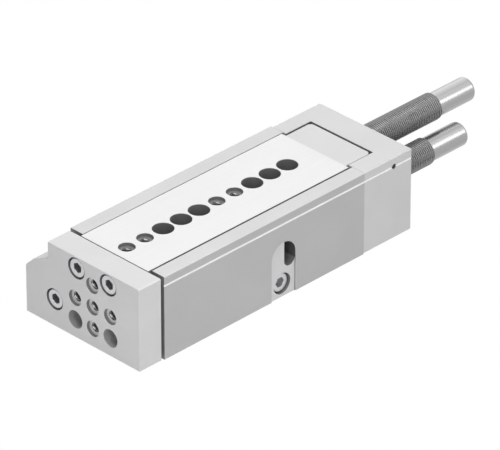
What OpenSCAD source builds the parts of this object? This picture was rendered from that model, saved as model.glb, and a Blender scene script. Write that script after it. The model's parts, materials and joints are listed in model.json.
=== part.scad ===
// Guided pneumatic slide table.
// +X is the direction in which the table advances, +Z is up, and the mounting face lies at z = 0.
// The origin is the middle of the housing's mounting face. The table is modelled fully retracted.

/* [Travel] */
// Travel of the table
stroke = 50; // [40:5:60]
// Travel of an absorber's plunger
damping_stroke = 14; // [8:1:16]

/* [Housing] */
// Width over the housing, the cap and the yoke
body_w = 65; // [64:0.5:70]
// Height of the housing above its mounting face
body_h = 38.5; // [38:0.5:44]
// Length of the housing without its cap
housing_len = 112.8; // [108:0.4:140]
// Height of the ledge's outer side
ledge_h = 22.2; // [20:0.2:24]
// Bevel between the ledge's side and its sloped top
ledge_bevel = 4.7; // [2:0.1:6]
// Slope of the ledge's top
ledge_slope = 26; // [15:1:35]
// Distance from the ledge's outer side to the upper wall
ledge_w = 11.7; // [11:0.1:13]
// Thickness of the upper wall on the ledge's side
wall_ledge = 6.6; // [5.1:0.1:7]
// Thickness of the upper wall on the open side
wall_open = 6.3; // [6:0.1:7]
// Gap between the table and the lips over the rails
lip_gap = 0.6; // [0.4:0.1:1]
// Fillet where the ledge meets the upper wall
ledge_fillet = 2.2; // [1:0.1:4]
// Rounding of the long outer edges
edge_r = 0.5; // [0.3:0.1:1.5]
// Width of the V-shaped line groove along the open side
groove_w = 0.9; // [0.5:0.1:1.4]
// Distance from the top face to the line groove
groove_drop = 4.1; // [3:0.1:5]

/* [Rear cap] */
// Length of the rear cap
cap_len = 27.4; // [26:0.2:34]
// Thickness of the cap's rear wall
cap_wall = 13; // [11:0.5:14]
// How far the cap's upper wall steps in from the housing's
cap_step = 1.1; // [0.3:0.1:1.5]
// Clearance of the cap above the mounting plane
cap_lift = 0.5; // [0.2:0.1:1]
// Diameter of the pin hole in the line groove
pin_hole_d = 2.3; // [1.5:0.1:2.5]

/* [Yoke] */
// Thickness of the yoke plate
yoke_t = 12.4; // [11:0.2:16]
// Gap between the yoke and the housing
yoke_gap = 1.5; // [0.8:0.1:2.5]
// Clearance of the yoke above the mounting plane
yoke_lift = 0.5; // [0.3:0.1:1]
// How far the yoke's upper wall steps in from the housing's
yoke_step = 1.3; // [0.3:0.1:1.5]
// Rounding of the yoke's long edges
yoke_r = 0.6; // [0.5:0.1:1.5]
// Bevel round the yoke's faces
yoke_bevel = 0.4; // [0.2:0.1:0.5]
// How deep the heads of the yoke's screws lie below its face
head_recess = 0.6; // [0.2:0.1:1.4]
// Height of the middle of the yoke's hole grid
yoke_grid_z = 19; // [18:0.5:20]
// Diameter of the plain holes in the yoke
yoke_plain_d = 8; // [6:0.5:8]

/* [Table] */
// Thickness of the sliding table
table_t = 11.2; // [10.6:0.1:11.6]
// How far the table stands above the housing
table_proud = 0.2; // [0.1:0.1:0.5]
// Pitch of the holes in the table and the yoke
hole_pitch = 10; // [9:0.5:11]
// Distance from the table's front end to its first hole
first_hole = 6.8; // [6:0.2:9]
// Diameter of the access holes through the table
access_d = 9; // [8:0.5:9]
// Diameter of the centring counterbores
centring_d = 7; // [6:0.5:8]
// Depth of the centring counterbores
centring_depth = 1.6; // [1:0.1:2.5]
// Wall radius of the tapped mounting holes
tap_r = 2.1; // [1.6:0.05:2.2]

/* [Ball guide] */
// Gap between the table and a rail
guide_gap = 1.2; // [1:0.1:1.3]
// Diameter of the balls
ball_d = 3.5; // [3:0.1:4]
// Pitch of the balls in the cage
ball_pitch = 5.5; // [4.5:0.5:8]
// Thickness of the cage strip
cage_t = 0.7; // [0.4:0.1:0.8]
// Height of the cage strip
cage_h = 5; // [4.6:0.2:6]
// Thickness of a hardened rail
rail_t = 3; // [2.5:0.1:3]
// Height of a hardened rail
rail_h = 8; // [7:0.2:8.4]

/* [Cylinder] */
// Diameter of the cylinder bore
bore_d = 20; // [16:1:20]
// Distance from the ledge's outer side to the cylinder's axis
cyl_inset = 16.7; // [16:0.1:17]
// Height of the cylinder's axis
cyl_z = 13.2; // [13:0.1:14]
// Diameter of the piston rod
rod_d = 8; // [6:0.5:10]
// Length of the piston
piston_len = 14; // [12:0.5:16]
// Length of the piston's magnet
magnet_len = 3; // [2:0.5:4]
// Length of the rod bearing
bearing_len = 18; // [12:1:20]
// Length of the end plug's body
plug_len = 5.4; // [4:0.2:7]
// Length of the end plug's spigot
spigot_len = 5; // [4:0.5:7]
// Wall radius of the supply ports
port_r = 2.1; // [1.5:0.1:2.1]

/* [Absorbers] */
// Diameter of an absorber's threaded sleeve
sleeve_d = 12; // [10:0.5:12]
// Length of an absorber's threaded sleeve
sleeve_len = 54.2; // [48:0.2:64]
// Diameter of an absorber's inner tube
tube_d = 10; // [7:0.5:10]
// How far the tube stands out behind the sleeve
tube_out = 20.6; // [14:0.2:26]
// Diameter of an absorber's plunger
plunger_d = 4; // [3:0.5:5]
// Length of a plunger inside its tube when it stands out
plunger_inside = 16; // [12:1:18]
// Distance from the table's top to the retracting absorber's axis
retract_drop = 7.5; // [7.2:0.1:8]
// Sideways offset of the advancing absorber from the table's centre line
advance_offset = 9.3; // [9:0.1:10]
// Height of the advancing absorber's axis
advance_z = 19.3; // [19:0.1:20]

/* [Carrier] */
// Length of the carrier block
carrier_len = 14.8; // [12:0.2:15.4]
// How far each side of the carrier block lies inside the table's side
carrier_inset = 2; // [1.8:0.1:3]
// Wall of the carrier's lug round the absorber
lug_wall = 1.2; // [0.8:0.1:1.4]
// Rounding of the carrier's rear corners
carrier_r = 2; // [1:0.5:3]

/* [Stop insert] */
// Width of the stop insert
stop_w = 13.5; // [12:0.1:14]
// Thickness of the insert's wall that the absorber meets
stop_lug = 2.5; // [2:0.1:4]
// Height of the stop insert's round top
stop_top = 25.7; // [25.3:0.1:25.9]
// How far the insert lies below the housing's side
stop_recess = 0.5; // [0.2:0.1:1]
// Width of the inspection window
window_w = 6; // [4:0.5:6]
// How deep the head of the stop screw lies below the insert's face
stop_screw_recess = 1.2; // [0.2:0.1:1.4]
// Height of the stop screw's axis
stop_screw_z = 6.4; // [6:0.1:7]

/* [Fits] */
// Running clearance of a sliding piece, on the radius
run_fit = 0.05; // [0.02:0.01:0.09]
// Seating clearance of a fixed round piece, on the radius
seat_fit = 0.02; // [0.01:0.01:0.05]
// Clearance round pieces that pass each other
pass_gap = 0.6; // [0.4:0.1:0.8]
// Clearance of the carrier block beside its pocket's open side
pocket_gap = 0.3; // [0.2:0.1:0.8]

/* [Hidden] */
$fn = 48;
e = 0.01;
arc_steps = 6;
x_front = housing_len/2;
x_seam = -housing_len/2;
x_rear = x_seam - cap_len;
side_y = body_w/2;
ledge_y = -body_w/2;
neck_y = ledge_y + ledge_w;
yoke_back = x_front + yoke_gap;
yoke_front = yoke_back + yoke_t;

channel_w = body_w - ledge_w - wall_ledge - wall_open;
channel_half = channel_w/2;
guide_y = side_y - wall_open - channel_half;
table_w = channel_w - 2*guide_gap;
table_len = housing_len;
table_front = yoke_back;
table_rear = table_front - table_len;
table_top = body_h + table_proud;
table_z = table_top - table_t;
table_mid_z = table_z + table_t/2;
channel_z = table_z - pass_gap;
ball_r = ball_d/2;
ball_z = table_z + table_t*0.38;
ball_y = table_w/2 + guide_gap/2;
groove_r = ball_r + run_fit;
rail_z = ball_z - rail_h/2;
lip_z = rail_z + rail_h + 0.4;
lip_half = table_w/2 + lip_gap;
yoke_neck = neck_y + yoke_step;

hole_count = floor((table_len - 2*first_hole)/hole_pitch) + 1;
function hole_x(k) = table_front - first_hole - hole_pitch*k;
// One group of five holes: two tapped ones and three access holes.
group = 5;
function is_access(k) = k % group >= 2;
mount_holes = [2, 8];

cage_margin = 2;
cage_front = x_front - cage_margin - stroke/2;
cage_rear = table_rear + stroke/2 + cage_margin;
cage_len = cage_front - cage_rear;
ball_count = floor((cage_len - 2*ball_r - 1)/ball_pitch) + 1;

bore_r = bore_d/2;
cyl_y = ledge_y + cyl_inset;
piston_gap = 0.6;
plug_front = x_seam + plug_len;
piston_rear = plug_front + spigot_len + piston_gap;
piston_front = piston_rear + piston_len;
clip_t = 1;
clip_rise = 0.6;
clip_front = x_front - 1;
bearing_front = clip_front - clip_t;
bearing_rear = bearing_front - bearing_len;
rod_r = rod_d/2;
seal_t = 3;
seal_wall = 2.4;
ring_t = 2.4;
ring_depth = 1.8;

sleeve_r = sleeve_d/2;
tube_r = tube_d/2;
plunger_r = plunger_d/2;
carrier_front = table_rear;
carrier_rear = carrier_front - carrier_len;
carrier_w = table_w - 2*carrier_inset;
carrier_top = body_h - 0.1;
retract_z = table_top - retract_drop;
advance_y = guide_y + advance_offset;
nose_inset = 1.2;
advance_nose = carrier_front - nose_inset;
lug_front = advance_nose - 0.8;
retract_nose = carrier_rear - 0.3;
lug_r = sleeve_r + lug_wall;
lane_half = lug_r + pass_gap;
lane_z = advance_z - lane_half;
pocket_rear = x_rear + cap_wall;
plunger_len = damping_stroke + plunger_inside;
touch_gap = 0.05;
set_screw_r = 2;

stop_face = advance_nose + stroke + touch_gap;
stop_right = stop_face + stop_lug;
stop_left = stop_right - stop_w;
stop_x = (stop_left + stop_right)/2;
stop_inner = advance_y + lane_half;
stop_outer = side_y - stop_recess;
stop_foot = 0.3;
window_x = stop_left + window_w/2;
stop_screw_x = stop_x + 0.5;

m5 = 5;
m4 = 4;
yoke_seat = yoke_front - m5 - head_recess;
stop_seat = stop_outer - m5 - stop_screw_recess;
yoke_screw_y = 9;
carrier_screw_y = carrier_w/2 - 4.5;
cap_screws_at = [
    [side_y - 4.5, advance_z + 0.7],
    [side_y - 4.5, 5.5],
    [ledge_y + 4.5, 5.5],
    [ledge_y + 11, ledge_h + 3.1]
];
foot_x = 40;
foot_y = side_y - 4.5;
foot_depth = 8;
dowel_x = 20;
dowel_y = guide_y - 4;
dowel_r = 2;
slot_r = 2.5;
slot_z = ledge_h - 3.4;

// ---- Outlines, as lists of [y, z] points, counter-clockwise ----

// The arc that rounds corner b of the path a, b, c.
function corner_arc(a, b, c, r) =
    let (u = (a - b)/norm(a - b), v = (c - b)/norm(c - b))
    let (half = acos(u*v)/2, mid = (u + v)/norm(u + v), centre = b + mid*r/sin(half))
    let (p = b + u*r/tan(half) - centre, q = b + v*r/tan(half) - centre)
    let (a0 = atan2(p[1], p[0]), turn = atan2(p[0]*q[1] - p[1]*q[0], p*q))
    [for (k = [0:arc_steps]) centre + r*[cos(a0 + turn*k/arc_steps), sin(a0 + turn*k/arc_steps)]];

function rounded(points, radii) =
    let (n = len(points))
    [for (i = [0:n - 1]) each corner_arc(points[(i + n - 1)%n], points[i], points[(i + 1)%n], radii[i])];

function inward(a, b) = [a[1] - b[1], b[0] - a[0]]/norm(b - a);

function inset(points, d) =
    let (n = len(points))
    [for (i = [0:n - 1])
        let (m = inward(points[(i + n - 1)%n], points[i]), w = inward(points[i], points[(i + 1)%n]))
        points[i] + d*(m + w)/(1 + m*w)];

// The stepped outline that the housing, the cap and the yoke share.
ledge_top = [ledge_y + ledge_bevel, ledge_h + ledge_bevel];
function neck_z(neck) = ledge_top[1] + tan(ledge_slope)*(neck - ledge_top[0]);

function body_outline(z0, z1, neck) =
    rounded(
        [[ledge_y, z0], [side_y, z0], [side_y, z1], [neck, z1], [neck, neck_z(neck)],
            ledge_top, [ledge_y, ledge_h]],
        [edge_r, edge_r, edge_r, edge_r, ledge_fillet, edge_r, edge_r]);

// The same outline as two convex ones that overlap: below the ledge's slope, and beside it.
function low_outline(z0, z1) =
    rounded(
        [[ledge_y, z0], [side_y, z0], [side_y, z1],
            [ledge_top[0] + (z1 - ledge_top[1])/tan(ledge_slope), z1], ledge_top, [ledge_y, ledge_h]],
        [for (k = [0:5]) yoke_r]);

function high_outline(z0, z1, neck) =
    rounded([[neck, z0], [side_y, z0], [side_y, z1], [neck, z1]], [for (k = [0:3]) yoke_r]);

function fillet_outline(z1, neck) =
    concat([[neck + 1, neck_z(neck) - 1]],
        corner_arc([neck, z1], [neck, neck_z(neck)], ledge_top, ledge_fillet));

module prism(points, x0, x1)
    translate([x0, 0, 0]) rotate([90, 0, 90]) linear_extrude(x1 - x0) polygon(points);

// A prism from x0 to x1 with a bevel round each end face, on a convex outline.
module bevelled(points, x0, x1, bevel) {
    n = len(points);
    rings = [[x0, bevel], [x0 + bevel, 0], [x1 - bevel, 0], [x1, bevel]];
    polyhedron(
        points = [for (ring = rings) each [for (p = inset(points, ring[1])) [ring[0], p[0], p[1]]]],
        faces = concat(
            [[for (i = [0:n - 1]) i]],
            [for (r = [0:2], i = [0:n - 1]) [r*n + i, (r + 1)*n + i, (r + 1)*n + (i + 1)%n, r*n + (i + 1)%n]],
            [[for (i = [n - 1:-1:0]) 3*n + i]]));
}

module bevelled_body(z0, z1, neck, x0, x1, bevel) {
    bevelled(low_outline(z0, z1), x0, x1, bevel);
    bevelled(high_outline(z0, z1, neck), x0, x1, bevel);
    prism(fillet_outline(z1, neck), x0 + bevel, x1 - bevel);
}

// ---- Building blocks ----

// A box between two corners.
module block(low, high) translate(low) cube(high - low);

// A cylinder along +X from x0 to x1.
module bar_x(x0, x1, r, y, z) translate([x0, y, z]) rotate([0, 90, 0]) cylinder(r = r, h = x1 - x0);

// A cylinder along +Z from z0 to z1.
module bar_z(z0, z1, r, x, y) translate([x, y, z0]) cylinder(r = r, h = z1 - z0);

// A cylinder along +Y from y0 to y1.
module bar_y(y0, y1, r, x, z) translate([x, y0, z]) rotate([-90, 0, 0]) cylinder(r = r, h = y1 - y0);

// A socket-head screw whose shank runs along -Z from the seat of its head at z = 0.
module socket_screw(d, shank) {
    difference() {
        cylinder(r = 0.85*d, h = d);
        translate([0, 0, 0.5*d]) cylinder(r = 0.4*d/cos(30), h = d, $fn = 6);
    }
    translate([0, 0, -shank]) cylinder(r = 0.42*d - 0.05, h = shank);
}

// The hole for such a screw: clearance along the shank, with room for the head above the seat.
module screw_room(d, clear, tapped, depth) {
    translate([0, 0, -clear]) cylinder(r = 0.55*d, h = clear + e);
    translate([0, 0, -clear - tapped]) cylinder(r = 0.42*d, h = tapped + e);
    cylinder(r = 0.95*d, h = depth);
}

// A set screw along +Z with a hexagon socket in its lower end.
module set_screw(r, z0, z1) {
    difference() {
        translate([0, 0, z0]) cylinder(r = r, h = z1 - z0);
        translate([0, 0, z0 - e]) cylinder(r = 0.55*r, h = 1.6, $fn = 6);
    }
}

module ring_x(x0, x1, outer, inner, y, z) {
    difference() {
        bar_x(x0, x1, outer, y, z);
        bar_x(x0 - 1, x1 + 1, inner, y, z);
    }
}

module line_groove(x0, x1) {
    z = body_h - groove_drop;
    r = groove_w/2;
    prism([[side_y - r, z], [side_y + r, z - 2*r], [side_y + r, z + 2*r]], x0, x1);
}

// ---- Housing ----

module stop_outline(clearance) {
    r = stop_w/2 + clearance;
    translate([stop_x, stop_top - stop_w/2]) circle(r = r);
    translate([stop_x - r, -1]) square([2*r, stop_top - stop_w/2 + 1]);
}

module housing() color([0.74, 0.75, 0.77]) difference() {
    prism(body_outline(0, body_h, neck_y), x_seam, x_front);
    // Channel of the table, narrower between its lips, with a seat for each rail
    block([x_seam - 1, guide_y - channel_half, channel_z], [x_front + 1, guide_y + channel_half, lip_z]);
    block([x_seam - 1, guide_y - lip_half, lip_z - e], [x_front + 1, guide_y + lip_half, body_h + 1]);
    block([x_seam - 1, guide_y - channel_half - rail_t, rail_z],
        [x_front + 1, guide_y + channel_half + rail_t, rail_z + rail_h]);
    // Lane of the advancing absorber, which ends behind the stop
    block([x_seam - 1, advance_y - lane_half, lane_z], [stop_right, advance_y + lane_half, channel_z + 1]);
    // Seat of the stop insert, open at the side and at the bottom
    translate([0, side_y + 1, 0]) rotate([90, 0, 0])
        linear_extrude(side_y + 1 - stop_inner) stop_outline(0);
    translate([stop_screw_x, stop_inner, stop_screw_z]) rotate([-90, 0, 0])
        screw_room(m5, 0, 2*m5 + 2, 1);
    // Cylinder bore, its retaining groove and the supply ports
    bar_x(x_seam - 1, x_front + 1, bore_r, cyl_y, cyl_z);
    bar_x(clip_front - clip_t, clip_front, bore_r + clip_rise, cyl_y, cyl_z);
    for (x = [plug_front + spigot_len/2, bearing_rear - 3])
        bar_y(ledge_y - 1, cyl_y, port_r, x, cyl_z);
    // Screws that hold the housing down, reached through the table
    for (k = mount_holes) {
        bar_z(-1, body_h, 2.75, hole_x(k), guide_y);
        bar_z(lane_z - m5 - 0.5, body_h, 4.5, hole_x(k), guide_y);
    }
    for (x = [-foot_x, foot_x], y = [-foot_y, foot_y])
        bar_z(-1, foot_depth, tap_r, x, y);
    for (x = [-dowel_x, dowel_x])
        bar_z(-1, 5, dowel_r, x, dowel_y);
    // Sensor slot in the ledge's side and the line groove in the other side
    bar_x(x_seam - 1, x_front + 1, slot_r, ledge_y + slot_r + 0.8, slot_z);
    block([x_seam - 1, ledge_y - 1, slot_z - 1.7], [x_front + 1, ledge_y + slot_r, slot_z + 1.7]);
    line_groove(x_seam - 1, x_front + 1);
    for (at = cap_screws_at)
        bar_x(x_seam - 1, x_seam + 2*m4 + 1, 0.42*m4, at[0], at[1]);
}

module rail(side) {
    y0 = guide_y + side*channel_half;
    y1 = guide_y + side*(channel_half + rail_t);
    color([0.82, 0.83, 0.84]) difference() {
        block([x_seam, min(y0, y1), rail_z], [x_front, max(y0, y1), rail_z + rail_h]);
        bar_x(x_seam - 1, x_front + 1, groove_r, guide_y + side*ball_y, ball_z);
    }
}

module rail_left() rail(-1);
module rail_right() rail(1);

// ---- Rear cap ----

module rear_cap() color([0.78, 0.79, 0.8]) difference() {
    prism(body_outline(cap_lift, body_h, neck_y + cap_step), x_rear, x_seam);
    // Pocket that takes the carrier block, and the lane of its lug
    block([pocket_rear, guide_y - carrier_w/2 - 1, channel_z],
        [x_seam + 1, guide_y + carrier_w/2 + pocket_gap, body_h + 1]);
    block([pocket_rear, advance_y - lane_half, lane_z], [x_seam + 1, advance_y + lane_half, channel_z + 1]);
    // Seat of the retracting absorber and passage of the advancing one
    bar_x(x_rear - 1, pocket_rear + 1, sleeve_r + seat_fit, guide_y, retract_z);
    bar_x(x_rear - 1, pocket_rear + 1, sleeve_r + pass_gap, advance_y, advance_z);
    bar_z(-1, retract_z, set_screw_r + seat_fit, x_rear + cap_wall/2, guide_y - 3);
    for (at = cap_screws_at) translate([x_rear + m4 + 0.6, at[0], at[1]]) rotate([0, -90, 0])
        screw_room(m4, cap_len, 0, cap_len);
    line_groove(x_rear - 1, x_seam + 1);
    bar_y(side_y - 4, side_y + 1, pin_hole_d/2, x_rear + 10.2, body_h - groove_drop);
}

module cap_screws() color([0.3, 0.3, 0.32])
    for (at = cap_screws_at) translate([x_rear + m4 + 0.6, at[0], at[1]]) rotate([0, -90, 0])
        socket_screw(m4, cap_len - m4 - 0.6 + 2*m4);

// ---- Cylinder ----

module end_plug() color([0.8, 0.8, 0.82]) difference() {
    union() {
        bar_x(x_seam, plug_front, bore_r - seat_fit, cyl_y, cyl_z);
        bar_x(plug_front - e, plug_front + spigot_len, bore_r - 3, cyl_y, cyl_z);
    }
    ring_x(x_seam + 1.5, x_seam + 1.5 + ring_t, bore_r + 1, bore_r - ring_depth, cyl_y, cyl_z);
}

module plug_seal() color([0.1, 0.1, 0.1])
    ring_x(x_seam + 1.5, x_seam + 1.5 + ring_t, bore_r - seat_fit, bore_r - ring_depth, cyl_y, cyl_z);

module rod_bearing() color([0.75, 0.62, 0.35]) difference() {
    bar_x(bearing_rear, bearing_front, bore_r - seat_fit, cyl_y, cyl_z);
    bar_x(bearing_rear - 1, bearing_front + 1, rod_r + run_fit, cyl_y, cyl_z);
    bar_x(bearing_front - seal_t, bearing_front + 1, rod_r + seal_wall, cyl_y, cyl_z);
}

module rod_seal() color([0.1, 0.1, 0.1])
    ring_x(bearing_front - seal_t, bearing_front, rod_r + seal_wall - seat_fit, rod_r + run_fit,
        cyl_y, cyl_z);

module retaining_ring() color([0.35, 0.35, 0.37])
    ring_x(clip_front - clip_t, clip_front, bore_r + clip_rise - seat_fit, bore_r - 1.6, cyl_y, cyl_z);

module piston_rod() color([0.85, 0.86, 0.88]) difference() {
    bar_x(piston_rear + 1.5, yoke_back, rod_r, cyl_y, cyl_z);
    bar_x(yoke_back - 2*m5 - 2, yoke_back + 1, 0.42*m5, cyl_y, cyl_z);
}

seal_at = [2, piston_len - 2 - ring_t];
magnet_at = (piston_len - magnet_len)/2;

module piston() color([0.78, 0.78, 0.8]) difference() {
    bar_x(piston_rear, piston_front, bore_r - run_fit, cyl_y, cyl_z);
    bar_x(piston_rear + 1.5, piston_front + 1, rod_r + seat_fit, cyl_y, cyl_z);
    for (s = seal_at)
        ring_x(piston_rear + s, piston_rear + s + ring_t, bore_r + 1, bore_r - ring_depth, cyl_y, cyl_z);
    ring_x(piston_rear + magnet_at, piston_rear + magnet_at + magnet_len, bore_r + 1, rod_r + 1.2,
        cyl_y, cyl_z);
}

module piston_seals() color([0.1, 0.1, 0.1])
    for (s = seal_at)
        ring_x(piston_rear + s, piston_rear + s + ring_t, bore_r - run_fit/2, bore_r - ring_depth,
            cyl_y, cyl_z);

module piston_magnet() color([0.25, 0.25, 0.27])
    ring_x(piston_rear + magnet_at, piston_rear + magnet_at + magnet_len, bore_r - 0.4, rod_r + 1.2,
        cyl_y, cyl_z);

// ---- Yoke and table ----

// A tapped hole with a centring counterbore, opening along +Z at z = 0.
module centring_hole(depth) {
    translate([0, 0, -depth]) cylinder(r = tap_r, h = depth);
    translate([0, 0, -centring_depth]) cylinder(r = centring_d/2, h = centring_depth + 1);
}

yoke_taps = [[0, 1], [-1, 0], [0, 0], [1, 0], [0, -1]];

module yoke_plate() color([0.8, 0.81, 0.83]) difference() {
    bevelled_body(yoke_lift, body_h, yoke_neck, yoke_back, yoke_front, yoke_bevel);
    for (at = yoke_taps)
        translate([yoke_front, guide_y + hole_pitch*at[0], yoke_grid_z + hole_pitch*at[1]])
            rotate([0, 90, 0]) centring_hole(yoke_t + 1);
    for (side = [-1, 1])
        bar_x(yoke_back - 1, yoke_front + 1, yoke_plain_d/2,
            guide_y + side*hole_pitch, yoke_grid_z - hole_pitch);
    for (at = yoke_screws_at) translate([yoke_seat, at[0], at[1]]) rotate([0, 90, 0])
        screw_room(m5, yoke_t, 0, yoke_t);
}

yoke_screws_at = [
    [guide_y - yoke_screw_y, table_mid_z],
    [guide_y + yoke_screw_y, table_mid_z],
    [cyl_y, cyl_z]
];

module yoke_screw(at) translate([yoke_seat, at[0], at[1]]) rotate([0, 90, 0])
    socket_screw(m5, yoke_seat - yoke_back + 2*m5);

module table_screws() color([0.7, 0.71, 0.72]) {
    yoke_screw(yoke_screws_at[0]);
    yoke_screw(yoke_screws_at[1]);
}

module rod_screw() color([0.7, 0.71, 0.72]) yoke_screw(yoke_screws_at[2]);

module table() color([0.93, 0.93, 0.94]) difference() {
    block([table_rear, guide_y - table_w/2, table_z], [table_front, guide_y + table_w/2, table_top]);
    for (side = [-1, 1])
        bar_x(table_rear - 1, table_front + 1, groove_r, guide_y + side*ball_y, ball_z);
    for (k = [0:hole_count - 1])
        if (is_access(k))
            bar_z(table_z - 1, table_top + 1, access_d/2, hole_x(k), guide_y);
        else
            translate([hole_x(k), guide_y, table_top]) centring_hole(9);
    for (side = [-1, 1]) {
        bar_x(table_front - 2*m5 - 1, table_front + 1, 0.42*m5, guide_y + side*yoke_screw_y, table_mid_z);
        bar_x(table_rear - 1, table_rear + 2*m4 + 1, 0.42*m4, guide_y + side*carrier_screw_y, table_mid_z);
    }
}

// ---- Carrier and absorbers ----

// The upper part of the carrier from above, with rounded rear corners.
function carrier_outline() =
    let (y0 = guide_y - carrier_w/2, y1 = guide_y + carrier_w/2)
    concat([[carrier_front, y0], [carrier_front, y1]],
        corner_arc([carrier_front, y1], [carrier_rear, y1], [carrier_rear, y0], carrier_r),
        corner_arc([carrier_rear, y1], [carrier_rear, y0], [carrier_front, y0], carrier_r));

module carrier_block() color([0.62, 0.63, 0.66]) difference() {
    union() {
        translate([0, 0, table_z]) linear_extrude(carrier_top - table_z) polygon(carrier_outline());
        block([carrier_rear, advance_y - lug_r, advance_z - lug_r],
            [lug_front, advance_y + lug_r, table_z + e]);
    }
    bar_x(carrier_rear - 1, carrier_front + 1, sleeve_r + seat_fit, advance_y, advance_z);
    for (side = [-1, 1])
        translate([carrier_rear + m4 + 0.4, guide_y + side*carrier_screw_y, table_mid_z])
            rotate([0, -90, 0]) screw_room(m4, carrier_len, 0, carrier_len);
}

module carrier_screws() color([0.3, 0.3, 0.32])
    for (side = [-1, 1])
        translate([carrier_rear + m4 + 0.4, guide_y + side*carrier_screw_y, table_mid_z])
            rotate([0, -90, 0]) socket_screw(m4, carrier_len - m4 - 0.4 + 2*m4);

module sleeve(nose, y, z) color([0.35, 0.36, 0.38])
    ring_x(nose - sleeve_len, nose, sleeve_r, tube_r + seat_fit, y, z);

module tube(nose, y, z) color([0.85, 0.86, 0.9]) difference() {
    rear = nose - sleeve_len - tube_out;
    translate([rear, y, z]) rotate([0, 90, 0]) rotate_extrude()
        polygon([[0, 0], [tube_r - 1, 0], [tube_r, 1], [tube_r, nose - rear - 0.5], [0, nose - rear - 0.5]]);
    bar_x(nose - plunger_len - 2, nose + 1, plunger_r + run_fit, y, z);
}

module plunger(tip, y, z) color([0.9, 0.9, 0.92])
    bar_x(tip - plunger_len, tip, plunger_r, y, z);

module retract_sleeve() sleeve(retract_nose, guide_y, retract_z);
module retract_tube() tube(retract_nose, guide_y, retract_z);
module retract_plunger() plunger(carrier_rear - touch_gap, guide_y, retract_z);
module advance_sleeve() sleeve(advance_nose, advance_y, advance_z);
module advance_tube() tube(advance_nose, advance_y, advance_z);
module advance_plunger() plunger(advance_nose + damping_stroke, advance_y, advance_z);

module retract_set_screw() color([0.3, 0.3, 0.32])
    translate([x_rear + cap_wall/2, guide_y - 3, 0])
        set_screw(set_screw_r, cap_lift + 0.5, retract_z - sleeve_r);

// ---- Stop insert ----

module stop_insert() color([0.8, 0.81, 0.82]) difference() {
    lane_side = advance_y - lane_half + seat_fit;
    intersection() {
        translate([0, stop_outer, 0]) rotate([90, 0, 0])
            linear_extrude(stop_outer - lane_side) stop_outline(-seat_fit);
        union() {
            block([stop_left, stop_inner, stop_foot], [stop_right, side_y, stop_top]);
            block([stop_face, lane_side, lane_z], [stop_right, stop_inner + e, stop_top]);
        }
    }
    // Inspection window
    translate([window_x, 0, advance_z - sleeve_r + window_w/2]) {
        bar_y(stop_inner - 1, side_y, window_w/2, 0, 0);
        block([-window_w/2, stop_inner - 1, 0], [window_w/2, side_y, 2*sleeve_r - window_w/2]);
    }
    translate([stop_screw_x, stop_seat, stop_screw_z]) rotate([-90, 0, 0])
        screw_room(m5, side_y, 0, side_y);
}

module stop_screw() color([0.7, 0.71, 0.72])
    translate([stop_screw_x, stop_seat, stop_screw_z]) rotate([-90, 0, 0])
        socket_screw(m5, stop_seat - stop_inner + 2*m5);

// ---- Ball guides ----

function ball_x(k) = (cage_front + cage_rear)/2 + (k - (ball_count - 1)/2)*ball_pitch;

module cage(side) color([0.8, 0.68, 0.4]) difference() {
    y = guide_y + side*ball_y;
    block([cage_rear, y - cage_t/2, ball_z - cage_h/2], [cage_front, y + cage_t/2, ball_z + cage_h/2]);
    for (k = [0:ball_count - 1])
        bar_y(y - 1, y + 1, ball_r + run_fit, ball_x(k), ball_z);
}

module balls(side) color([0.9, 0.9, 0.92])
    for (k = [0:ball_count - 1])
        translate([ball_x(k), guide_y + side*ball_y, ball_z]) sphere(r = ball_r);

module cage_left() cage(-1);
module cage_right() cage(1);
module balls_left() balls(-1);
module balls_right() balls(1);

housing();
rail_left();
rail_right();
rear_cap();
cap_screws();
end_plug();
plug_seal();
rod_bearing();
rod_seal();
retaining_ring();
stop_insert();
stop_screw();
retract_sleeve();
retract_tube();
retract_plunger();
retract_set_screw();
table();
yoke_plate();
table_screws();
rod_screw();
piston_rod();
piston();
piston_seals();
piston_magnet();
carrier_block();
carrier_screws();
advance_sleeve();
advance_tube();
advance_plunger();
cage_left();
cage_right();
balls_left();
balls_right();
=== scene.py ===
"""Looks of the guided pneumatic slide table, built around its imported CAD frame."""

import json
import math

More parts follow.
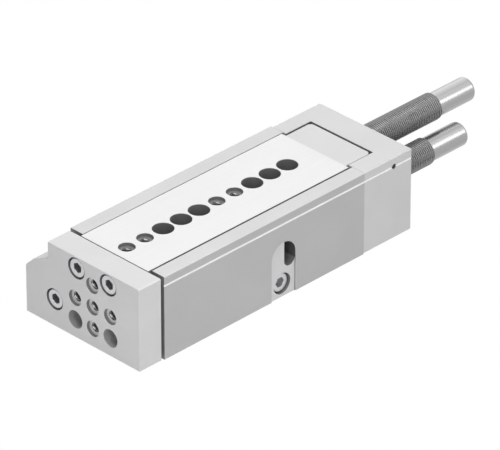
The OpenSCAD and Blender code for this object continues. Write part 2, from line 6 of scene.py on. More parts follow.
import bmesh
import bpy
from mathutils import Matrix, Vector


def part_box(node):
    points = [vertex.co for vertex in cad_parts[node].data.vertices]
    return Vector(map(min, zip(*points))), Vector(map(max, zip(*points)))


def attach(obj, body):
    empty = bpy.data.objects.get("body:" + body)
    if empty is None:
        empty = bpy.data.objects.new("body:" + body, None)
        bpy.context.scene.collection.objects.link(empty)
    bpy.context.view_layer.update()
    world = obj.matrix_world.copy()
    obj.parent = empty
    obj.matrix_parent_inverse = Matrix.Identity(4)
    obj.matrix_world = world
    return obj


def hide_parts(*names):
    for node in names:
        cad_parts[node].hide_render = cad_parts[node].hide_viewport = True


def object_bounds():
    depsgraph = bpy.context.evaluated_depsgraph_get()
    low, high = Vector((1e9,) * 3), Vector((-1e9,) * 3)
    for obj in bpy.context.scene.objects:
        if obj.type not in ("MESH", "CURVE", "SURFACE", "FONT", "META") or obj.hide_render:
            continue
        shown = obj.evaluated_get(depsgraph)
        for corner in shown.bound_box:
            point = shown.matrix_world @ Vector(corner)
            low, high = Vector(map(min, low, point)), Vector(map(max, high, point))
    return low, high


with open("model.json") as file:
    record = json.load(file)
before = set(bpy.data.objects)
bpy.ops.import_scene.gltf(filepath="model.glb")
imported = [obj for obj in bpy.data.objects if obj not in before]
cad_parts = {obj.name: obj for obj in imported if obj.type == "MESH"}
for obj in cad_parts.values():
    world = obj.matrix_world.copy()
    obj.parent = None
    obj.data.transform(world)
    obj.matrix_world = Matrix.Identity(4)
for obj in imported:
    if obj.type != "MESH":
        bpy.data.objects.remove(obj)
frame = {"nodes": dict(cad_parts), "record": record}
cad_low, cad_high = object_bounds()

MM = 0.001


def add_object(name, data):
    made = bpy.data.objects.new(name, data)
    bpy.context.scene.collection.objects.link(made)
    return made


# ---- Camera, floor and light ----

VIEW_AZIMUTH = 134.975
VIEW_ELEVATION = 31.218
VIEW_DISTANCE = 2548.46 * MM
VIEW_TARGET = Vector((-27.05, -3.38, 11.29)) * MM
VIEW_LENS = 452.7
SENSOR_WIDTH = 36
CLIP_START, CLIP_END = 0.1, 20

WHITE = (1, 1, 1, 1)
WORLD_STRENGTH = 0.12
FLOOR_COLOUR = (0.9, 0.9, 0.9, 1)
FLOOR_HALF = 1.5
# The floor lies this far below the part, so that the two planes don't mix
FLOOR_GAP = 0.05 * MM

# Azimuth and elevation as seen from the part in degrees, distance and size in metres, and
# power in watts
LAMPS = {
    "key": (48, 78, 0.8, 0.65, 5.5),
    "front": (42, 22, 0.42, 0.3, 0.5),
    "back": (222, 33, 0.7, 0.5, 0.34),
    "rim": (230, 18, 0.7, 0.4, 0.22),
    "crown": (196, 50, 0.6, 0.35, 0.08),
    "middle": (154.4, 47.8, 0.783, 0.3, 0.15),
    "streak": (133.3, 27.8, 0.783, 0.3, 0.78),
}


def aim(thing, out, distance):
    """Places thing in the direction out from the view's target, looking back at it."""
    thing.location = VIEW_TARGET + out * distance
    thing.rotation_mode = "QUATERNION"
    thing.rotation_quaternion = (-out).to_track_quat("-Z", "Y")


def make_camera():
    data = bpy.data.cameras.new("camera")
    data.sensor_width = SENSOR_WIDTH
    data.lens = VIEW_LENS
    data.clip_start = CLIP_START
    data.clip_end = CLIP_END
    camera = add_object("camera", data)
    turn, rise = math.radians(VIEW_AZIMUTH), math.radians(VIEW_ELEVATION)
    out = Vector((math.sin(turn) * math.cos(rise), -math.cos(turn) * math.cos(rise),
                  math.sin(rise)))
    aim(camera, out, VIEW_DISTANCE)
    bpy.context.scene.camera = camera


def make_lamp(name, azimuth, elevation, distance, size, power):
    """A square soft lamp. Its azimuth runs from +X, unlike the camera's."""
    data = bpy.data.lights.new(name, "AREA")
    data.size = size
    data.energy = power
    turn, rise = math.radians(azimuth), math.radians(elevation)
    out = Vector((math.cos(turn) * math.cos(rise), math.sin(turn) * math.cos(rise),
                  math.sin(rise)))
    aim(add_object(name, data), out, distance)


def white_to_viewer(tree, shader, kind):
    """Mixes shader with a plain white node of that kind, which only camera, glossy and
    transmission rays see."""
    path = tree.nodes.new("ShaderNodeLightPath")
    seen = path.outputs["Is Camera Ray"]
    for ray in ("Is Glossy Ray", "Is Transmission Ray"):
        either = tree.nodes.new("ShaderNodeMath")
        either.operation = "MAXIMUM"
        tree.links.new(seen, either.inputs[0])
        tree.links.new(path.outputs[ray], either.inputs[1])
        seen = either.outputs[0]
    white = tree.nodes.new(kind)
    white.inputs["Color"].default_value = WHITE
    white.inputs["Strength"].default_value = 1.0
    mix = tree.nodes.new("ShaderNodeMixShader")
    tree.links.new(seen, mix.inputs["Fac"])
    tree.links.new(shader.outputs[0], mix.inputs[1])
    tree.links.new(white.outputs[0], mix.inputs[2])
    return mix.outputs[0]


def make_world():
    world = bpy.data.worlds.new("studio")
    bpy.context.scene.world = world
    world.use_nodes = True
    tree = world.node_tree
    ambient = tree.nodes["Background"]
    ambient.inputs["Color"].default_value = WHITE
    ambient.inputs["Strength"].default_value = WORLD_STRENGTH
    mixed = white_to_viewer(tree, ambient, "ShaderNodeBackground")
    tree.links.new(mixed, tree.nodes["World Output"].inputs["Surface"])


def make_floor():
    material = bpy.data.materials.new("floor_white")
    material.use_nodes = True
    tree = material.node_tree
    shader = tree.nodes["Principled BSDF"]
    shader.inputs["Base Color"].default_value = FLOOR_COLOUR
    shader.inputs["Roughness"].default_value = 1.0
    mixed = white_to_viewer(tree, shader, "ShaderNodeEmission")
    tree.links.new(mixed, tree.nodes["Material Output"].inputs["Surface"])
    mesh = bpy.data.meshes.new("floor")
    z = cad_low.z - FLOOR_GAP
    corners = [(-1, -1), (1, -1), (1, 1), (-1, 1)]
    mesh.from_pydata([(x * FLOOR_HALF, y * FLOOR_HALF, z) for x, y in corners], [],
                     [(0, 1, 2, 3)])
    mesh.materials.append(material)
    add_object("floor", mesh)


# ---- Materials ----

# The part of a noise's range that is spread over the colours and the roughness
NOISE_LOW, NOISE_HIGH = 0.35, 0.65
EVEN = (1, 1, 1)


class Surface:
    """A Principled material whose nodes are added step by step."""

    def __init__(self, name, colour, metallic, roughness):
        self.material = bpy.data.materials.new(name)
        self.material.use_nodes = True
        self.tree = self.material.node_tree
        self.shader = self.tree.nodes["Principled BSDF"]
        self.colour = colour
        self.set("Base Color", (*colour, 1))
        self.set("Metallic", metallic)
        self.set("Roughness", roughness)

    def set(self, socket, value):
        self.shader.inputs[socket].default_value = value

    def add(self, kind, inputs, **settings):
        """Adds a node. Each input is a plain value or the socket that feeds it."""
        made = self.tree.nodes.new(kind)
        for key, value in settings.items():
            setattr(made, key, value)
        for key, value in inputs.items():
            if isinstance(value, bpy.types.NodeSocket):
                self.tree.links.new(value, made.inputs[key])
            else:
                made.inputs[key].default_value = value
        return made

    def noise(self, stretch, scale, detail, seed=0.0):
        """Noise in the object's own coordinates, stretched along the axes. Each seed takes
        another place of it."""
        place = self.add("ShaderNodeTexCoord", {})
        mapping = self.add("ShaderNodeMapping", {
            "Vector": place.outputs["Object"], "Scale": stretch,
            "Location": (seed, seed * 0.7, seed * 1.3)})
        made = self.add("ShaderNodeTexNoise", {
            "Vector": mapping.outputs[0], "Scale": scale, "Detail": detail})
        return made.outputs["Fac"]

    def ramp(self, noise, low, high):
        """Spreads the noise over low to high."""
        made = self.add("ShaderNodeMapRange", {
            "Value": noise, "From Min": NOISE_LOW, "From Max": NOISE_HIGH,
            "To Min": low, "To Max": high})
        return made.outputs[0]

    def vary_colour(self, noise, amount):
        """Darkens and lightens the base colour by that share."""
        dark = tuple(c * (1 - amount) for c in self.colour)
        light = tuple(min(1, c * (1 + amount)) for c in self.colour)
        # A mix of colours takes its factor in input 0 and its colours in inputs 6 and 7
        made = self.add("ShaderNodeMix", {
            0: self.ramp(noise, 0, 1), 6: (*dark, 1), 7: (*light, 1)}, data_type="RGBA")
        self.tree.links.new(made.outputs[2], self.shader.inputs["Base Color"])

    def vary_roughness(self, noise, low, high):
        self.tree.links.new(self.ramp(noise, low, high), self.shader.inputs["Roughness"])

    def bump(self, noise, depth):
        """Bumps of that depth in mm."""
        made = self.add("ShaderNodeBump", {
            "Height": noise, "Distance": depth * MM, "Strength": 1.0})
        self.tree.links.new(made.outputs["Normal"], self.shader.inputs["Normal"])


def anodised(name, colour, roughness=0.5):
    """Blasted and anodised aluminium: matt, with a fine even grain."""
    made = Surface(name, colour, 0.25, roughness)
    made.set("Specular IOR Level", 0.4)
    grain = made.noise(EVEN, 3500, 2)
    cloud = made.noise(EVEN, 45, 3, seed=3)
    made.vary_colour(cloud, 0.02)
    made.vary_roughness(grain, roughness - 0.06, roughness + 0.06)
    made.bump(grain, 0.006)
    return made.material


def ground(name, colour, roughness=0.34):
    """Steel ground along X: fine straight lines."""
    made = Surface(name, colour, 0.35, roughness)
    lines = made.noise((6, 900, 900), 8, 4)
    cloud = made.noise(EVEN, 30, 3, seed=5)
    made.vary_colour(lines, 0.025)
    made.vary_roughness(cloud, roughness - 0.05, roughness + 0.05)
    made.bump(lines, 0.004)
    return made.material


def turned(name, colour, metallic, roughness, depth=0.003):
    """Metal turned about an axis along X: fine rings across X."""
    made = Surface(name, colour, metallic, roughness)
    rings = made.noise((900, 6, 6), 8, 3)
    cloud = made.noise(EVEN, 60, 3, seed=7)
    made.vary_colour(rings, 0.03)
    made.vary_roughness(cloud, max(0.03, roughness - 0.04), roughness + 0.05)
    made.bump(rings, depth)
    return made.material


def drawn(name, colour, roughness=0.25):
    """A drawn and polished steel tube along X, with broad lengthwise bands in its colour: partly
    drawing streaks, partly painted reflection bands.
    """
    made = Surface(name, colour, 0.95, roughness)
    streak_and_reflection_bands = made.noise((1, 260, 260), 1, 1, seed=2)
    made.vary_colour(streak_and_reflection_bands, 0.08)
    made.vary_roughness(streak_and_reflection_bands, roughness - 0.03, roughness + 0.03)
    return made.material


def plated(name, colour, metallic, roughness):
    """Plated or blackened steel: smooth with faint mottling."""
    made = Surface(name, colour, metallic, roughness)
    mottle = made.noise(EVEN, 900, 3)
    made.vary_colour(mottle, 0.05)
    made.vary_roughness(mottle, roughness - 0.06, roughness + 0.08)
    made.bump(mottle, 0.004)
    return made.material


def rubbery(name, colour):
    """Matt rubber with a fine grain."""
    made = Surface(name, colour, 0.0, 0.6)
    grain = made.noise(EVEN, 2500, 2)
    made.vary_colour(grain, 0.1)
    made.vary_roughness(grain, 0.5, 0.7)
    made.bump(grain, 0.01)
    return made.material


def grey(level):
    return (level, level, level)


# The function that makes each material, and what it takes after the name
FINISHES = {
    "anodised_side": (anodised, grey(0.57)),
    # Painted shade: a darker copy of the side anodising for the housing's flat sides
    "anodised_flank": (anodised, grey(0.45)),
    "anodised_cap": (anodised, grey(0.58)),
    "anodised_yoke": (anodised, grey(0.605)),
    "carrier_grey": (anodised, grey(0.595)),
    "ground_steel": (ground, grey(0.68), 0.46),
    "rail_steel": (ground, (0.55, 0.55, 0.56)),
    "insert_steel": (anodised, grey(0.605)),
    "screw_steel": (plated, (0.62, 0.63, 0.64), 0.6, 0.35),
    "dark_screw_steel": (plated, (0.05, 0.05, 0.055), 0.7, 0.4),
    "sleeve_steel": (plated, grey(0.27), 0.6, 0.42),
    "tube_steel": (drawn, grey(0.37)),
    "rod_steel": (turned, (0.58, 0.58, 0.59), 1.0, 0.16, 0.001),
    "ball_steel": (plated, (0.8, 0.8, 0.82), 1.0, 0.1),
    "cage_brass": (turned, (0.72, 0.55, 0.26), 0.9, 0.3),
    "bearing_bronze": (turned, (0.62, 0.45, 0.22), 0.9, 0.32),
    "piston_alloy": (turned, (0.66, 0.66, 0.68), 0.8, 0.3),
    "plug_alloy": (turned, (0.66, 0.67, 0.68), 0.8, 0.3),
    "magnet": (plated, (0.1, 0.1, 0.11), 0.6, 0.5),
    "seal_rubber": (rubbery, grey(0.02)),
    "ring_steel": (plated, (0.2, 0.2, 0.21), 0.8, 0.4),
    # Painted shade: dark machined metal for hole walls, gaps, the channel and screw heads' sides
    "machined": (turned, grey(0.2), 0.2, 0.5),
    # Painted shade on the walls of the yoke's plain holes
    "bored": (turned, grey(0.48), 0.35, 0.45),
    # Painted highlight on the lit faces of the side grooves and the yoke's counterbore floors
    "bright_cut": (anodised, grey(0.75), 0.4),
    "cut_thread": (plated, (0.4, 0.4, 0.41), 0.9, 0.25),
    # Painted shade deep in tapped holes and in the cap's pin hole
    "thread_root": (plated, grey(0.07), 0.6, 0.5),
    # Painted shade in the roots of the sleeves' threads
    "sleeve_root": (plated, grey(0.14), 0.75, 0.4),
    # Painted shade in screw sockets and on the housing's insert seat, a darker and a lighter
    # grey
    "socket_dark": (plated, grey(0.2), 0.6, 0.4),
    "socket_light": (plated, grey(0.42), 0.6, 0.4),
}
MATERIALS = {name: make(name, *rest) for name, (make, *rest) in FINISHES.items()}


# ---- Tools for the pieces ----

BODY_OF = {node: body for body, nodes in frame["record"]["behaviour"]["bodies"].items()
           for node in nodes}
SLOT_OF = {part["node"]: part["material_slot"] for part in frame["record"]["subparts"]}

MERGE_DISTANCE = 0.002 * MM
FLAT_ANGLE = math.radians(0.4)
SHARP_ANGLE = math.radians(28)
BEVEL_ANGLE = math.radians(32)
# The same two for pieces whose round walls have few facets
COARSE_SHARP_ANGLE = math.radians(50)
COARSE_BEVEL_ANGLE = math.radians(60)

PLUS_X, MINUS_X = (1, 0, 0), (-1, 0, 0)
PLUS_Y, MINUS_Y = (0, 1, 0), (0, -1, 0)
PLUS_Z, MINUS_Z = (0, 0, 1), (0, 0, -1)

# The M5 threads in tapped holes, with the number of rings to a turn, the run-out at both
# ends in turns, and how much steeper the flanks are than without a flat root
TAP_RADIUS = 2.1 * MM
TAP_PITCH = 0.8 * MM
TAP_DEPTH = 0.4 * MM
TAP_STEPS = 6
TAP_RUN_OUT = 0.7
TAP_FLANK = 1.25
WALL_TOLERANCE = 0.012 * MM

# The fine thread on an absorber's sleeve. Its flanks take the middle of the wave, and its
# root and crest are flat.
SLEEVE_ROOT = 5.45 * MM
SLEEVE_BORE = 5.02 * MM
SLEEVE_PITCH = 1.0 * MM
SLEEVE_STEPS = 8
SLEEVE_SIDES = 56
FLANK_START, FLANK_WIDTH = 0.27, 0.52
SLEEVE_END_DROP = 0.1 * MM
# Faces up to this share of the thread's depth count as its root and get painted shade
ROOT_SHARE = 0.3

TUBE_RADIUS = 5.3 * MM
TUBE_CORNER = 1.5 * MM
TUBE_CORNER_STEPS = 6
PLUNGER_BORE = 2.05 * MM
PLUNGER_BORE_DEPTH = 31.5 * MM
LATHE_SIDES = 64


def cad_copy(node):
    """The CAD node's surface as a new bmesh, with its flat faces joined."""
    bm = bmesh.new()
    bm.from_mesh(frame["nodes"][node].data)
    for layer in list(bm.loops.layers.uv):
        bm.loops.layers.uv.remove(layer)
    bmesh.ops.remove_doubles(bm, verts=bm.verts, dist=MERGE_DISTANCE)
    bmesh.ops.dissolve_limit(bm, angle_limit=FLAT_ANGLE, verts=bm.verts, edges=bm.edges)
    return bm


def soften(bm, width, angle=BEVEL_ANGLE, skip=None):
    """Bevels the outward edges sharper than that angle, by width in mm. An edge stays where
    skip(x, y, z) holds for its middle in mm."""
    edges = [e for e in bm.edges
             if len(e.link_faces) == 2 and e.is_convex and e.calc_face_angle() > angle
             and not (skip and skip(*((e.verts[0].co + e.verts[1].co) / 2 / MM)))]
    bmesh.ops.bevel(bm, geom=edges, offset=width * MM, offset_type="OFFSET", segments=2,
                    profile=0.5, affect="EDGES", clamp_overlap=False)


def around(point, axis, at):
    """Distance along the axis from a point on it, and the part of `at` square to the axis."""
    along = (at - point).dot(axis)
    return along, at - point - axis * along


def thread_wave(along, turn, pitch):
    """Height of a helical thread with straight flanks, from 0 to 1."""
    return 1 - abs(2 * ((along / pitch - turn / (2 * math.pi)) % 1) - 1)


def close_ring(bm, ring, angles, end, end_angles):
    """Joins a ring of vertices to an end ring, which may have another number of them."""
    def nearest(angle):
        return min(range(len(ring)),
                   key=lambda i: abs((angles[i] - angle + math.pi) % (2 * math.pi) - math.pi))

    picks = [nearest(angle) for angle in end_angles]
    for j in range(len(end)):
        following = (j + 1) % len(end)
        at = picks[j]
        corners = [ring[at]]
        while at != picks[following]:
            at = (at + 1) % len(ring)
            corners.append(ring[at])
        bm.faces.new([end[j], end[following]] + corners[::-1])


def cut_thread(bm, point, axis, start, end):
    """Swaps the wall of a tapped hole, from start to end along the axis in mm, for a helical
    thread."""
    point, axis = Vector(point) * MM, Vector(axis)
    start, end = start * MM, end * MM
    side = axis.orthogonal().normalized()
    up = axis.cross(side)

    def height(vert):
        return around(point, axis, vert.co)[0]

    def turn(vert):
        out = vert.co - point
        return math.atan2(out.dot(up), out.dot(side)) % (2 * math.pi)

    def on_wall(vert):
        along, out = around(point, axis, vert.co)
        return abs(out.length - TAP_RADIUS) < WALL_TOLERANCE and start < along < end

    bm.normal_update()
    wall = [f for f in bm.faces
            if abs(f.normal.dot(axis)) < 0.5 and all(on_wall(v) for v in f.verts)]
    if not wall:
        raise ValueError(f"no hole wall at {tuple(point)}")
    rim = {edge for face in wall for edge in face.edges
           if sum(f in wall for f in edge.link_faces) == 1}
    bmesh.ops.delete(bm, geom=wall, context="FACES")
    verts = list({v for edge in rim if edge.is_valid for v in edge.verts})
    middle = sum(height(v) for v in verts) / len(verts)
    first = sorted((v for v in verts if height(v) < middle), key=turn)
    last = sorted((v for v in verts if height(v) >= middle), key=turn)
    low = max(height(v) for v in first)
    high = min(height(v) for v in last)
    count = max(4, round((high - low) / TAP_PITCH * TAP_STEPS))
    angles = [turn(v) for v in first]
    rings = [first]
    for k in range(1, count):
        along = low + (high - low) * k / count
        fade = min(1, (along - low) / (TAP_RUN_OUT * TAP_PITCH),
                   (high - along) / (TAP_RUN_OUT * TAP_PITCH))
        ring = []
        for angle in angles:
            wave = thread_wave(along, angle, TAP_PITCH)
            radius = TAP_RADIUS + TAP_DEPTH * fade * min(1, wave * TAP_FLANK)
            out = side * math.cos(angle) + up * math.sin(angle)
            ring.append(bm.verts.new(point + axis * along + out * radius))
        rings.append(ring)
    for a, b in zip(rings, rings[1:]):
        for i in range(len(angles)):
            j = (i + 1) % len(angles)
            bm.faces.new((a[i], b[i], b[j], a[j]))
    close_ring(bm, rings[-1], angles, last, [turn(v) for v in last])


def paint(bm, index, test):
    """Gives that material index to the faces whose middle passes the test, which takes
    x, y and z in mm and the face's normal."""
    bm.normal_update()
    for face in bm.faces:
        middle = face.calc_center_median() / MM
        if test(middle.x, middle.y, middle.z, face.normal):
            face.material_index = index


def paint_bore(bm, index, point, axis, radius, start, end):
    """Gives that material index to the faces whose corners all lie within radius of the axis
    and from start to end along it, in mm."""
    point, axis = Vector(point) * MM, Vector(axis)

    def within(vert):
        along, out = around(point, axis, vert.co)
        return out.length < radius * MM and start * MM < along < end * MM

    for face in bm.faces:
        if all(within(v) for v in face.verts):
            face.material_index = index


def sort_faces(bm):
    """Sorts the faces by their corners. After a bevel, Blender stores new faces in an order
    that varies from run to run."""
    bm.verts.index_update()
    ordered = sorted(bm.faces, key=lambda face: sorted(v.index for v in face.verts))
    place = {face: k for k, face in enumerate(ordered)}
    bm.faces.sort(key=place.get)


def finish_piece(bm, name, node, *slots, sharp=SHARP_ANGLE):
    """Turns bm into the visible piece that stands for a CAD node, with those materials."""
    sort_faces(bm)
    bmesh.ops.recalc_face_normals(bm, faces=bm.faces)
    for face in bm.faces:
        face.smooth = True
    for edge in bm.edges:
        edge.smooth = len(edge.link_faces) == 2 and edge.calc_face_angle() < sharp
    mesh = bpy.data.meshes.new(name)
    bm.to_mesh(mesh)
    bm.free()
    for slot in slots:
        mesh.materials.append(MATERIALS[slot])
    piece = add_object(name, mesh)
    shade = piece.modifiers.new("shade", "WEIGHTED_NORMAL")
    shade.keep_sharp = True
    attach(piece, BODY_OF[node])
    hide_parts(node)


def circle(sides):
    return [2 * math.pi * i / sides for i in range(sides)]


def threaded_sleeve(node):
    """An absorber's sleeve with its fine outside thread and bevelled ends. The thread's root
    has material index 1, which paints shade into the thread's grooves."""
    low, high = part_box(node)
    y, z = (low[1] + high[1]) / 2, (low[2] + high[2]) / 2
    length, crest = high[0] - low[0], (high[1] - low[1]) / 2
    rise = crest - SLEEVE_ROOT
    bm = bmesh.new()

    def ring(x, radius_at):
        return [bm.verts.new((x, y + radius_at(t) * math.cos(t), z + radius_at(t) * math.sin(t)))
                for t in circle(SLEEVE_SIDES)]

    count = round(length / SLEEVE_PITCH * SLEEVE_STEPS)
    rings = [ring(low[0], lambda t: SLEEVE_BORE)]
    for k in range(count + 1):
        along = length * k / count
        from_end = min(along, length - along)

        def radius(turn):
            wave = thread_wave(along, turn, SLEEVE_PITCH)
            thread = SLEEVE_ROOT + rise * min(1, max(0, (wave - FLANK_START) / FLANK_WIDTH))
            return min(thread, SLEEVE_ROOT - SLEEVE_END_DROP + from_end)

        rings.append(ring(low[0] + along, radius))
    rings.append(ring(high[0], lambda t: SLEEVE_BORE))
    for a, b in zip(rings, rings[1:] + rings[:1]):
        for i in range(SLEEVE_SIDES):
            j = (i + 1) % SLEEVE_SIDES
            bm.faces.new((a[i], a[j], b[j], b[i]))
    for face in bm.faces:
        out = sum(math.hypot(v.co.y - y, v.co.z - z) for v in face.verts) / 4
        if SLEEVE_BORE + 0.1 * MM < out < SLEEVE_ROOT + ROOT_SHARE * rise:
            face.material_index = 1
    return bm


def lathe(profile, y, z):
    """Turns a profile of (x, radius) in metres about the axis along X at y and z. It starts
    and ends at radius 0."""
    bm = bmesh.new()
    rings = []
    for x, radius in profile:
        if radius:
            rings.append([bm.verts.new((x, y + radius * math.cos(t), z + radius * math.sin(t)))
                          for t in circle(LATHE_SIDES)])
        else:
            rings.append([bm.verts.new((x, y, z))] * LATHE_SIDES)
    for a, b in zip(rings, rings[1:]):
        for i in range(LATHE_SIDES):
            j = (i + 1) % LATHE_SIDES
            # At radius 0 two corners are one vertex, which a face takes once
            bm.faces.new(list(dict.fromkeys((a[i], a[j], b[j], b[i]))))
    return bm


def absorber_tube(node, sleeve):
    """An absorber's inner tube, with a round edge at its free end and a bore for the plunger.
    It is a little thicker where it stands out of the sleeve."""
    low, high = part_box(node)
    seat = (high[1] - low[1]) / 2
    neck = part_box(sleeve)[0][0]
    bore_end = high[0] - PLUNGER_BORE_DEPTH
    profile = [(low[0], 0)]
    for step in range(TUBE_CORNER_STEPS, -1, -1):
        t = math.radians(90 / TUBE_CORNER_STEPS * step)
        profile.append((low[0] + TUBE_CORNER * (1 - math.sin(t)),
                        TUBE_RADIUS - TUBE_CORNER * (1 - math.cos(t))))
    profile += [(neck, TUBE_RADIUS), (neck, seat), (high[0], seat), (high[0], PLUNGER_BORE),
                (bore_end, PLUNGER_BORE), (bore_end, 0)]
    return lathe(profile, (low[1] + high[1]) / 2, (low[2] + high[2]) / 2)


# ---- Pieces: places and sizes in mm ----

SIDE_Y, YOKE_FRONT, TABLE_TOP = 32.5, 70.3, 38.7
GUIDE_Y = 6.0
CYLINDER_Y, CYLINDER_Z = -15.8, 13.2
GROOVE_Z, GROOVE_HALF, GROOVE_Y = 34.4, 0.6, 31.9
PIN_HOLE_X, PIN_HOLE_REACH, PIN_HOLE_Y = -73.6, 1.3, 28
SEAM_X, HOUSING_FRONT, TABLE_FRONT = -57, 56.3, 57.5

# Mouths and axes of the housing's tapped holes: four in the underside and two air ports
HOUSING_TAPS = [((x, y, 0), PLUS_Z) for x in (-40, 40) for y in (-28, 28)]
HOUSING_TAPS += [((x, -SIDE_Y, CYLINDER_Z), PLUS_Y) for x in (-48.5, 33.4)]

# The row of holes in the table, and which of them are tapped
TABLE_HOLES = [51.1 - 10 * k for k in range(10)]
TABLE_TAPPED = (0, 1, 5, 6)

# (y, z) of the yoke's holes: a tapped cross, two plain ones, and the part's own screws
YOKE_TAPS = [(GUIDE_Y + 10 * a, 19 + 10 * b)
             for a, b in ((0, 1), (-1, 0), (0, 0), (1, 0), (0, -1))]
YOKE_PLAIN = [(GUIDE_Y - 10, 9), (GUIDE_Y + 10, 9)]
TABLE_SCREWS = [(GUIDE_Y - 9, 33.1), (GUIDE_Y + 9, 33.1)]
ROD_SCREW = (CYLINDER_Y, CYLINDER_Z)
HEAD_SEAT_X = 64.7
STOP_SCREW_X, STOP_SCREW_Z, STOP_SEAT_Y, INSERT_Y = -9.8, 6.4, 25.8, 32

# How deep the threads go, and how deep the threads in counterbores are painted as lit, with
# painted shade below
HOUSING_TAP_END, TABLE_TAP_END, YOKE_TAP_END = 8.5, 9.2, 12.6
TABLE_LIT_END, YOKE_LIT_END = 2.6, 3
COUNTERBORE_DEPTH = 1.5

# Radii that just take in a hole's wall, its thread or a screw's socket
THREAD_REACH, COUNTERBORE_REACH, HEAD_REACH = 2.7, 3.6, 4.9
PLAIN_REACH, ACCESS_REACH, SOCKET_REACH, CYLINDER_REACH = 4.1, 4.6, 2.4, 10.7
BELOW_FACE, BELOW_BEVEL, PAST_BOTTOM = 0.1, 0.25, 13

# A screw's head, from where it is seated: radii of its side and ends of its socket
HEAD_SIDE = (3, 4.4)
SOCKET = (1, 4.9)

# Lowest and highest corner of the regions whose faces get painted shade
CHANNEL = (-HOUSING_FRONT, -20, 0.6), (HOUSING_FRONT, 29.6, 38.2)
INSERT_SEAT = (-17.5, 22, -1), (-3, 32.2, 26)
CARRIER_POCKET = (-71.2, -14.5, -1), (-56.45, 23.5, 38.2)
WINDOW = (-17.1, 0, 13.2), (-10.8, 31.85, 25.4)
# The channel's lit wall lies past this y and keeps its colour, and the rest of the channel gets
# painted shade, its ends up to this z
CHANNEL_LIT_Y, CHANNEL_END_Z = 23.4, 27
TABLE_HALF = 17

# Bevel widths of the nodes that only need their edges softened
BEVELS = {
    "rail_left": 0.15, "rail_right": 0.15, "cap_screws": 0.25, "end_plug": 0.2,
    "rod_bearing": 0.2, "retaining_ring": 0.1, "retract_plunger": 0.3,
    "retract_set_screw": 0.2, "piston_rod": 0.2, "piston": 0.2, "carrier_block": 0.2,
    "carrier_screws": 0.2, "advance_plunger": 0.3, "cage_left": 0.08,
    "cage_right": 0.08,
}


def near_axis(a, b, centre_a, centre_b, radius):
    return (a - centre_a) ** 2 + (b - centre_b) ** 2 < radius * radius


def in_region(region, *place):
    return all(low < at < high for low, at, high in zip(region[0], place, region[1]))


def in_groove(x, y, z, n):
    return (y > GROOVE_Y and abs(z - GROOVE_Z) < GROOVE_HALF + 0.02
            and abs(n.y) < 0.95 and abs(n.x) < 0.5)


def cut_counterbored(bm, mouth, axis, end, lit_end, machined, lit, deep_shade, bright=None):
    """Threads a counterbored hole down to end. Its counterbore gets painted shade, the thread is
    painted as lit down to lit_end and with painted shade below, and the counterbore's floor
    gets a painted highlight if that index is given."""
    over_floor, under_floor = COUNTERBORE_DEPTH - 0.1, COUNTERBORE_DEPTH + 0.05
    cut_thread(bm, mouth, axis, COUNTERBORE_DEPTH, end)
    paint_bore(bm, machined, mouth, axis, COUNTERBORE_REACH, BELOW_FACE, PAST_BOTTOM)
    if bright is not None:
        paint_bore(bm, bright, mouth, axis, COUNTERBORE_REACH, over_floor,
                   COUNTERBORE_DEPTH + 0.35)
    paint_bore(bm, deep_shade, mouth, axis, THREAD_REACH, under_floor, PAST_BOTTOM)
    paint_bore(bm, lit, mouth, axis, THREAD_REACH, over_floor, lit_end)


def make_housing():
    machined, shaded_flank, bright, shaded = 1, 2, 3, 4
    bm = cad_copy("housing")
    soften(bm, 0.2, skip=lambda x, y, z: y > GROOVE_Y and abs(z - GROOVE_Z) < GROOVE_HALF)
    for mouth, axis in HOUSING_TAPS:
        cut_thread(bm, mouth, axis, -1, HOUSING_TAP_END)
        # Painted shade in the tapped holes
        paint_bore(bm, machined, mouth, axis, THREAD_REACH, BELOW_BEVEL, HOUSING_TAP_END + 0.5)

    def inside(x, y, z, n):
        channel = in_region(CHANNEL, x, y, z) and (abs(n.x) < 0.9 or z < CHANNEL_END_Z)
        lit = y > CHANNEL_LIT_Y and n.y > 0.5
        bore = abs(n.x) < 0.5 and near_axis(y, z, CYLINDER_Y, CYLINDER_Z, CYLINDER_REACH)
        return channel and not lit or bore

    # Painted shade inside the channel, except on its lit wall, and in the cylinder's bore
    paint(bm, machined, inside)
    # Painted shade on the front face, which lies in the gap behind the yoke
    paint(bm, machined, lambda x, y, z, n: n.x > 0.9 and x > HOUSING_FRONT)
    # Painted shade: the housing's flat sides get a darker colour than its top
    paint(bm, shaded_flank, lambda x, y, z, n: abs(n.y) > 0.95 and abs(y) > SIDE_Y - 0.2)
    # Painted highlight on the groove's faces
    paint(bm, bright, in_groove)
    # Painted shade on the walls of the insert's seat
    paint(bm, shaded, lambda x, y, z, n: in_region(INSERT_SEAT, x, y, z) and abs(n.y) < 0.9)
    finish_piece(bm, "housing_body", "housing",
                 "anodised_side", "machined", "anodised_flank", "bright_cut", "socket_dark")


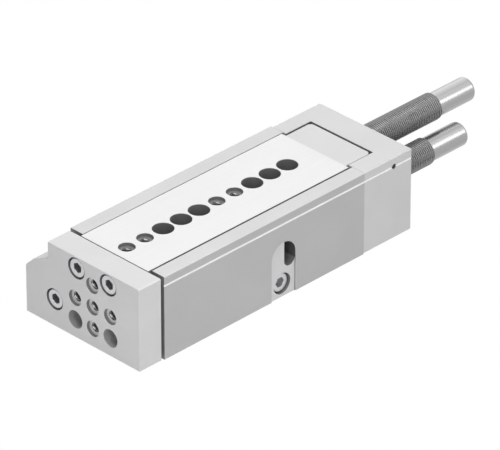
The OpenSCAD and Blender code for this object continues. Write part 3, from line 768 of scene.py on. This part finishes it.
def make_cap():
    machined, bright, deep_shade = 1, 2, 3
    bm = cad_copy("rear_cap")
    soften(bm, 0.2, skip=lambda x, y, z: (
        y > PIN_HOLE_Y and abs(z - GROOVE_Z) < PIN_HOLE_REACH + 0.1 and x < SEAM_X))
    # Painted highlight on the groove's faces
    paint(bm, bright, in_groove)
    # Painted shade in the pin hole and the carrier pocket
    paint(bm, machined, lambda x, y, z, n: (
        near_axis(x, z, PIN_HOLE_X, GROOVE_Z, PIN_HOLE_REACH) and PIN_HOLE_Y < y < SIDE_Y - 0.3
        or in_region(CARRIER_POCKET, x, y, z)))
    # Darker painted shade deeper in the pin hole
    paint_bore(bm, deep_shade, (PIN_HOLE_X, SIDE_Y, GROOVE_Z), MINUS_Y, PIN_HOLE_REACH, 0.2, 5)
    bmesh.ops.dissolve_degenerate(bm, dist=0.001 * MM, edges=bm.edges)
    finish_piece(bm, "rear_cap_body", "rear_cap",
                 "anodised_cap", "machined", "bright_cut", "thread_root")


def make_table():
    machined, lit, deep_shade = 1, 2, 3
    bm = cad_copy("table")
    soften(bm, 0.15)
    for k, x in enumerate(TABLE_HOLES):
        mouth = (x, GUIDE_Y, TABLE_TOP)
        if k in TABLE_TAPPED:
            cut_counterbored(bm, mouth, MINUS_Z, TABLE_TAP_END, TABLE_LIT_END,
                             machined, lit, deep_shade)
        else:
            # Painted shade in the access holes
            paint_bore(bm, machined, mouth, MINUS_Z, ACCESS_REACH, BELOW_FACE, PAST_BOTTOM)
    # Painted shade on the table's sides below the top and on its front end, in the gaps around
    # it
    paint(bm, machined, lambda x, y, z, n: z < TABLE_TOP - 0.16 and (
        abs(n.y) > 0.5 and abs(y - GUIDE_Y) > TABLE_HALF or n.x > 0.5 and x > TABLE_FRONT))
    finish_piece(bm, "table_body", "table",
                 "ground_steel", "machined", "cut_thread", "thread_root")


def make_yoke():
    machined, bored, bright, lit, deep_shade = 1, 2, 3, 4, 5
    bm = cad_copy("yoke_plate")
    soften(bm, 0.15, angle=COARSE_BEVEL_ANGLE)
    for y, z in YOKE_TAPS:
        cut_counterbored(bm, (YOKE_FRONT, y, z), MINUS_X, YOKE_TAP_END, YOKE_LIT_END,
                         machined, lit, deep_shade, bright)
    # Painted shade in the counterbores of the screws' heads
    for y, z in TABLE_SCREWS + [ROD_SCREW]:
        paint_bore(bm, machined, (YOKE_FRONT, y, z), MINUS_X, HEAD_REACH, BELOW_FACE,
                   PAST_BOTTOM)
    # Painted shade on the walls of the plain holes
    for y, z in YOKE_PLAIN:
        paint_bore(bm, bored, (YOKE_FRONT, y, z), MINUS_X, PLAIN_REACH, BELOW_FACE,
                   PAST_BOTTOM)
    finish_piece(bm, "yoke_body", "yoke_plate", "anodised_yoke", "machined", "bored",
                 "bright_cut", "cut_thread", "thread_root", sharp=COARSE_SHARP_ANGLE)


def make_insert():
    machined = 1
    bm = cad_copy("stop_insert")
    soften(bm, 0.1)
    # The bevel would stand out past the CAD's rear face
    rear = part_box("stop_insert")[0][0]
    for vert in bm.verts:
        vert.co.x = max(vert.co.x, rear)
    # Painted shade on the window's walls
    paint(bm, machined, lambda x, y, z, n: (
        in_region(WINDOW, x, y, z) and (abs(n.y) < 0.5 or n.z > 0.3)))
    # Painted shade in the stop screw's hole
    paint_bore(bm, machined, (STOP_SCREW_X, INSERT_Y, STOP_SCREW_Z), MINUS_Y, HEAD_REACH,
               BELOW_FACE, 10)
    finish_piece(bm, "stop_insert_body", "stop_insert", "insert_steel", "machined")


def make_screws(node, axis, seats, socket="socket_dark"):
    """Socket-head M5 screws along the axis, each from where its head is seated. The hexagon
    sockets and the heads' sides get painted shade."""
    in_socket, machined = 1, 2
    bm = cad_copy(node)
    soften(bm, 0.35)
    bm.normal_update()
    for seat in seats:
        for face in bm.faces:
            out = around(Vector(seat) * MM, Vector(axis), face.calc_center_median())[1]
            across = abs(face.normal.dot(Vector(axis))) < 0.95
            if HEAD_SIDE[0] * MM < out.length < HEAD_SIDE[1] * MM and across:
                face.material_index = machined
        paint_bore(bm, in_socket, seat, axis, SOCKET_REACH, *SOCKET)
    finish_piece(bm, node + "_body", node, "screw_steel", socket, "machined")


# ---- Scene ----

bpy.context.scene.view_settings.view_transform = "Standard"
make_camera()
make_world()
make_floor()
for name, values in LAMPS.items():
    make_lamp(name, *values)
for name, node in frame["nodes"].items():
    node.data.materials.clear()
    node.data.materials.append(MATERIALS[SLOT_OF[name]])
make_housing()
make_table()
make_yoke()
make_cap()
make_insert()
make_screws("table_screws", PLUS_X, [(HEAD_SEAT_X, y, z) for y, z in TABLE_SCREWS])
make_screws("rod_screw", PLUS_X, [(HEAD_SEAT_X, *ROD_SCREW)])
make_screws("stop_screw", PLUS_Y, [(STOP_SCREW_X, STOP_SEAT_Y, STOP_SCREW_Z)], "socket_light")
for name, width in BEVELS.items():
    bm = cad_copy(name)
    soften(bm, width)
    finish_piece(bm, name + "_body", name, SLOT_OF[name])
for side in ("retract", "advance"):
    sleeve, tube = side + "_sleeve", side + "_tube"
    finish_piece(threaded_sleeve(sleeve), sleeve + "_body", sleeve,
                 "sleeve_steel", "sleeve_root", sharp=COARSE_SHARP_ANGLE)
    finish_piece(absorber_tube(tube, sleeve), tube + "_body", tube, "tube_steel")
